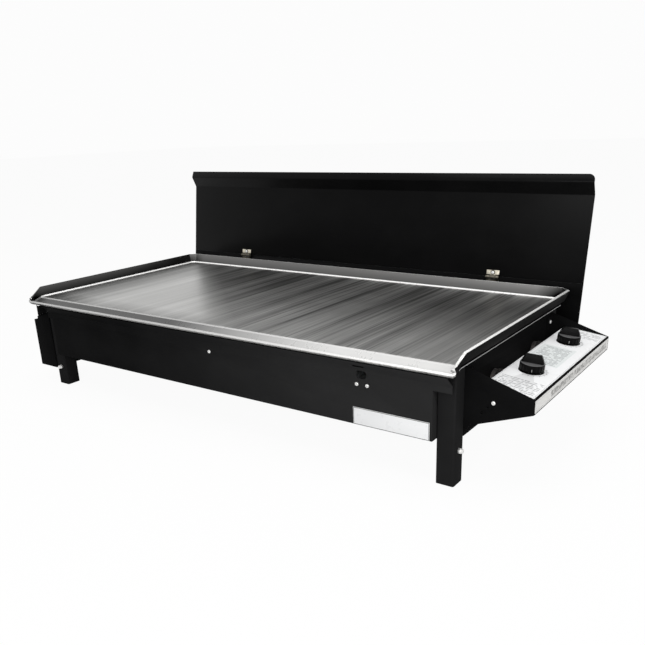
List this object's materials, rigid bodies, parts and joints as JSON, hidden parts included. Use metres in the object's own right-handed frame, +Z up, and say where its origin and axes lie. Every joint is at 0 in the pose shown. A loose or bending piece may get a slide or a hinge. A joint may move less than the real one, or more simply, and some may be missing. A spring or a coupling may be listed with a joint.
{
  "type": "built-in flat plate barbecue",
  "caption": "Low built-in gas barbecue with a long brushed steel cooking plate, black body on short legs, fold-down rear lid and a side control box with knobs",
  "frame": {"origin": "On the ground under the middle of the whole outline, from the fat tin to the control box and from the plate's front lip to the lid", "axes": "+X along the length towards the control box, +Y towards the rear, +Z up"},
  "size_m": [1.2992, 0.6301, 0.4843],
  "materials": {
    "bare_steel": "satin",
    "black_powder": "satin",
    "black_lid": "satin",
    "inner_leg_black": "satin",
    "cap_plastic": "matte",
    "zinc": "satin",
    "white_badge": "gloss",
    "pale_label": "satin",
    "brass": "satin",
    "knob_plastic": "satin",
    "burner_steel": "satin"
  },
  "bodies": {
    "root": {"cooking_plate": "bare_steel", "front_panel": "black_powder", "rear_panel": "black_powder", "left_side": "black_powder", "right_side": "black_powder", "leg_front_left": "black_powder", "leg_front_right": "black_powder", "leg_rear_left": "black_powder", "leg_rear_right": "black_powder", "leg_bolts": "zinc", "badge_plate": "white_badge", "lighting_chute": "zinc", "panel_screws": "zinc", "front_gusset": "black_powder", "rear_gusset": "black_powder", "control_panel": "black_powder", "panel_label": "pale_label", "fascia_strip": "pale_label", "box_bolts": "zinc", "gas_manifold": "brass", "gas_inlet": "brass", "tap_body_front": "brass", "tap_body_rear": "brass", "injector_front": "brass", "injector_rear": "brass", "burner_front": "burner_steel", "burner_rear": "burner_steel", "burner_rest": "burner_steel", "rear_guard": "black_lid", "guard_bolts": "zinc", "hinge_bases": "zinc", "hinge_pins": "zinc", "drain_spout": "black_powder", "tin_bracket": "black_powder", "tin_screws": "zinc"},
    "lid": {"lid_panel": "black_lid", "hinge_leaves": "zinc", "lid_screws": "zinc"},
    "fat_tin_body": {"fat_tin": "black_powder"},
    "plug_front": {"tap_plug_front": "brass", "tap_spring_front": "zinc"},
    "knob_front_body": {"tap_spindle_front": "brass", "knob_front": "knob_plastic"},
    "shutter_front": {"air_shutter_front": "zinc"},
    "plug_rear": {"tap_plug_rear": "brass", "tap_spring_rear": "zinc"},
    "knob_rear_body": {"tap_spindle_rear": "brass", "knob_rear": "knob_plastic"},
    "shutter_rear": {"air_shutter_rear": "zinc"},
    "extension_front_left": {"inner_leg_front_left": "inner_leg_black", "foot_cap_front_left": "cap_plastic"},
    "extension_front_right": {"inner_leg_front_right": "inner_leg_black", "foot_cap_front_right": "cap_plastic"},
    "extension_rear_left": {"inner_leg_rear_left": "inner_leg_black", "foot_cap_rear_left": "cap_plastic"},
    "extension_rear_right": {"inner_leg_rear_right": "inner_leg_black", "foot_cap_rear_right": "cap_plastic"}
  },
  "joints": [
    {"name": "lid_fold", "type": "hinge", "parent": "root", "child": "lid", "pos_m": [-0.02865, 0.28196, 0.25364], "axis": [1, 0, 0], "range_deg": [0, 95]},
    {"name": "fat_tin_slide", "type": "slide", "parent": "root", "child": "fat_tin_body", "axis": [0, -1, 0], "range_m": [0, 0.09]},
    {"name": "knob_front_turn", "type": "hinge", "parent": "root", "child": "plug_front", "pos_m": [0.59735, -0.11502, 0.18024], "axis": [0.1191, 0, 0.9929], "range_deg": [0, 200]},
    {"name": "knob_front_push", "type": "slide", "parent": "plug_front", "child": "knob_front_body", "axis": [-0.1191, 0, -0.9929], "range_m": [0, 0.003], "stiffness_N_per_m": 1500, "springref_m": -0.002, "deforming": ["tap_spring_front"]},
    {"name": "air_shutter_front_turn", "type": "hinge", "parent": "root", "child": "shutter_front", "pos_m": [0.54535, -0.11502, 0.15542], "axis": [1, 0, 0], "range_deg": [0, 60]},
    {"name": "knob_rear_turn", "type": "hinge", "parent": "root", "child": "plug_rear", "pos_m": [0.59735, 0.08698, 0.18024], "axis": [0.1191, 0, 0.9929], "range_deg": [0, 200]},
    {"name": "knob_rear_push", "type": "slide", "parent": "plug_rear", "child": "knob_rear_body", "axis": [-0.1191, 0, -0.9929], "range_m": [0, 0.003], "stiffness_N_per_m": 1500, "springref_m": -0.002, "deforming": ["tap_spring_rear"]},
    {"name": "air_shutter_rear_turn", "type": "hinge", "parent": "root", "child": "shutter_rear", "pos_m": [0.54535, 0.08698, 0.15542], "axis": [1, 0, 0], "range_deg": [0, 60]},
    {"name": "leg_front_left_slide", "type": "slide", "parent": "root", "child": "extension_front_left", "axis": [0, 0, -1], "range_m": [0, 0.06]},
    {"name": "leg_front_right_slide", "type": "slide", "parent": "root", "child": "extension_front_right", "axis": [0, 0, -1], "range_m": [0, 0.06]},
    {"name": "leg_rear_left_slide", "type": "slide", "parent": "root", "child": "extension_rear_left", "axis": [0, 0, -1], "range_m": [0, 0.06]},
    {"name": "leg_rear_right_slide", "type": "slide", "parent": "root", "child": "extension_rear_right", "axis": [0, 0, -1], "range_m": [0, 0.06]}
  ]
}
